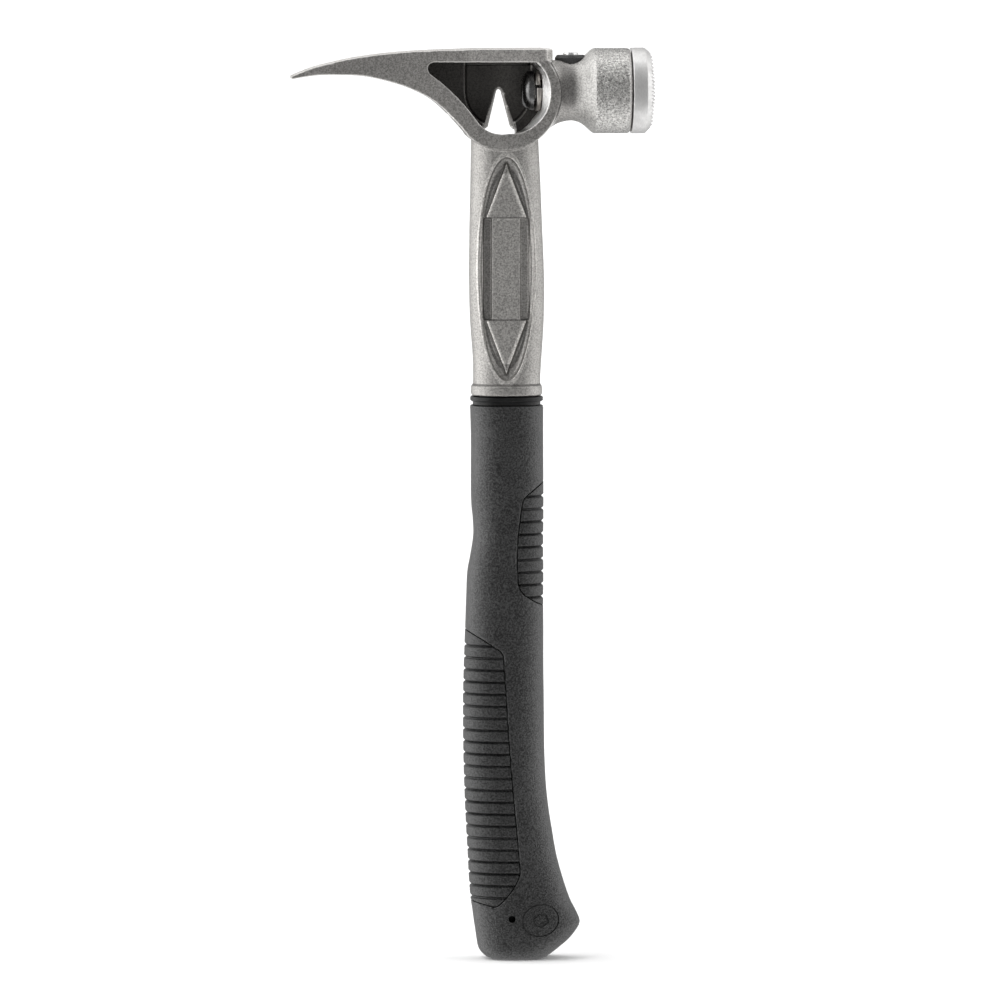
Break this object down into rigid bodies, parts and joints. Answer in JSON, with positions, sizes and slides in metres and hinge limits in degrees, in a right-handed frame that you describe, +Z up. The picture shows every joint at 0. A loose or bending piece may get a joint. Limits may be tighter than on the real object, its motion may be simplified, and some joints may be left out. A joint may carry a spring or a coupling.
{
  "type": "framing hammer",
  "caption": "One-piece titanium framing hammer with a straight claw, side nail puller, screw-on milled steel face, nail-starter magnet and moulded ribbed grip.",
  "frame": {"origin": "on the flat end of the grip, on the centre line of the neck", "axes": "+Z up the handle to the head, +X out of the striking face, +Y away from the open side of the pocket"},
  "size_m": [0.1536, 0.0362, 0.3856],
  "materials": {
    "cast_titanium": "fine sand-blasted titanium casting",
    "face_steel": "turned and milled bare steel",
    "screw_steel": "black oxide",
    "washer_steel": "plain spring steel",
    "holder_black": "matte black",
    "magnet_plating": "nickel plated",
    "grip_core_plastic": "satin black",
    "grip_rubber": "matte, fine moulded texture",
    "rib_rubber": "matte, fine moulded texture"
  },
  "bodies": {
    "hammer": {"hammer_frame": "cast_titanium", "magnet_holder": "holder_black", "nail_magnet": "magnet_plating", "grip_core": "grip_core_plastic", "grip_sleeve": "grip_rubber", "rear_rib_panel": "rib_rubber", "front_rib_panel": "rib_rubber"},
    "face": {"steel_face": "face_steel"},
    "washer": {"lock_washer": "washer_steel"},
    "screw": {"face_screw": "screw_steel"}
  },
  "joints": [
    {"name": "face_release", "type": "slide", "parent": "hammer", "child": "face", "axis": [1, 0, 0], "range_m": [0, 0.02]},
    {"name": "washer_travel", "type": "slide", "parent": "hammer", "child": "washer", "axis": [-1, 0, 0], "range_m": [0, 0.0112]},
    {"name": "screw_turn", "type": "hinge", "parent": "washer", "child": "screw", "pos_m": [0.0124, 0, 0.3676], "axis": [-1, 0, 0], "range_deg": [0, 2545]}
  ],
  "couplings": [
    {"joint": "screw_turn", "follows": "washer_travel", "rad_per_m": 3957.9}
  ]
}
